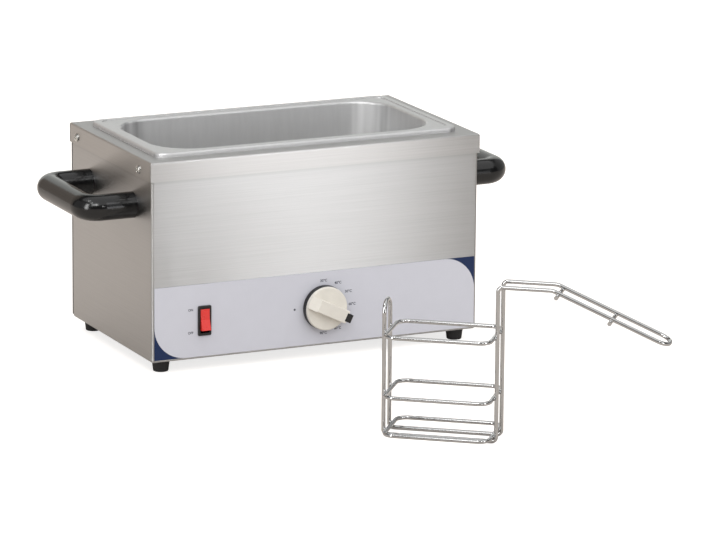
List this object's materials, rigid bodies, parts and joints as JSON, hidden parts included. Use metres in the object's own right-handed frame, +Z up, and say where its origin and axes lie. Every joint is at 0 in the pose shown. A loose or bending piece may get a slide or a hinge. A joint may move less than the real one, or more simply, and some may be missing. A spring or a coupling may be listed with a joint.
{
  "type": "sauce carton warmer",
  "caption": "Electric table-top sauce carton warmer: steel water bath with lift-out pan, thermostat knob, rocker switch, side handles and a loose wire holder with a long sloping arm.",
  "frame": {"origin": "on the table, under the middle of the casing", "axes": "+X to the right seen from the control panel, +Y to the back, +Z up"},
  "size_m": [0.4706, 0.6768, 0.2165],
  "materials": {
    "casing_steel": "satin brushed",
    "bath_steel": "satin",
    "inner_steel": "mill",
    "fastener_steel": "bright zinc",
    "holder_wire": "polished",
    "navy_film": "satin",
    "grey_film": "satin",
    "black_plastic": "gloss",
    "red_plastic": "gloss translucent",
    "ivory_plastic": "semi-gloss",
    "foot_rubber": "matte",
    "element_sheath": "dull",
    "thermostat_plastic": "matte",
    "cream_plastic": "matte",
    "copper_tube": "bright",
    "lead_brown": "matte",
    "lead_blue": "matte",
    "lead_green": "matte"
  },
  "bodies": {
    "warmer": {"casing_wrap": "casing_steel", "rear_panel": "casing_steel", "base_plate": "casing_steel", "top_cap": "casing_steel", "heating_well": "inner_steel", "element_clamps": "inner_steel", "well_rivets": "fastener_steel", "clamp_studs": "fastener_steel", "clamp_nuts": "fastener_steel", "thermostat_screws": "fastener_steel", "handle_screws": "fastener_steel", "foot_screws": "fastener_steel", "foot_nuts": "fastener_steel", "cap_screws": "fastener_steel", "rear_panel_screws": "fastener_steel", "block_screws": "fastener_steel", "earth_stud": "fastener_steel", "earth_nut": "fastener_steel", "overheat_cutout": "fastener_steel", "film_navy": "navy_film", "film_grey": "grey_film", "switch_housing": "black_plastic", "handle_left": "black_plastic", "handle_right": "black_plastic", "gland_body": "black_plastic", "gland_cap_nut": "black_plastic", "gland_lock_nut": "black_plastic", "foot_front_left": "foot_rubber", "foot_front_right": "foot_rubber", "foot_rear_right": "foot_rubber", "foot_rear_left": "foot_rubber", "heating_element": "element_sheath", "thermostat_body": "thermostat_plastic", "terminal_block": "cream_plastic", "sensor_bulb": "copper_tube", "capillary_tube": "copper_tube", "lead_live": "lead_brown", "lead_switch_to_thermostat": "lead_brown", "lead_thermostat_to_cutout": "lead_brown", "lead_cutout_to_element": "lead_brown", "lead_neutral": "lead_blue", "lead_earth": "lead_green"},
    "knob": {"knob_cap": "ivory_plastic", "knob_base": "black_plastic", "thermostat_shaft": "fastener_steel"},
    "rocker": {"switch_rocker": "red_plastic"},
    "pan": {"bath_pan": "bath_steel"},
    "holder": {"holder_carrier_end": "holder_wire", "holder_carrier_arm": "holder_wire", "holder_hoop_bottom": "holder_wire", "holder_hoop_lower": "holder_wire", "holder_hoop_upper": "holder_wire", "holder_brace_inner": "holder_wire", "holder_brace_outer": "holder_wire"}
  },
  "joints": [
    {"name": "knob_turn", "type": "hinge", "parent": "warmer", "child": "knob", "pos_m": [0.0074, -0.1043, 0.0513], "axis": [0, 1, 0], "range_deg": [-206, 64]},
    {"name": "rocker_tilt", "type": "hinge", "parent": "warmer", "child": "rocker", "pos_m": [-0.1205, -0.1018, 0.0503], "axis": [1, 0, 0], "range_deg": [0, 24]},
    {"name": "pan_lift", "type": "slide", "parent": "warmer", "child": "pan", "axis": [0, 0, 1], "range_m": [0, 0.17]},
    {"name": "holder_lift", "type": "slide", "parent": "warmer", "child": "holder", "axis": [0, 0, 1], "range_m": [0, 0.2]}
  ]
}
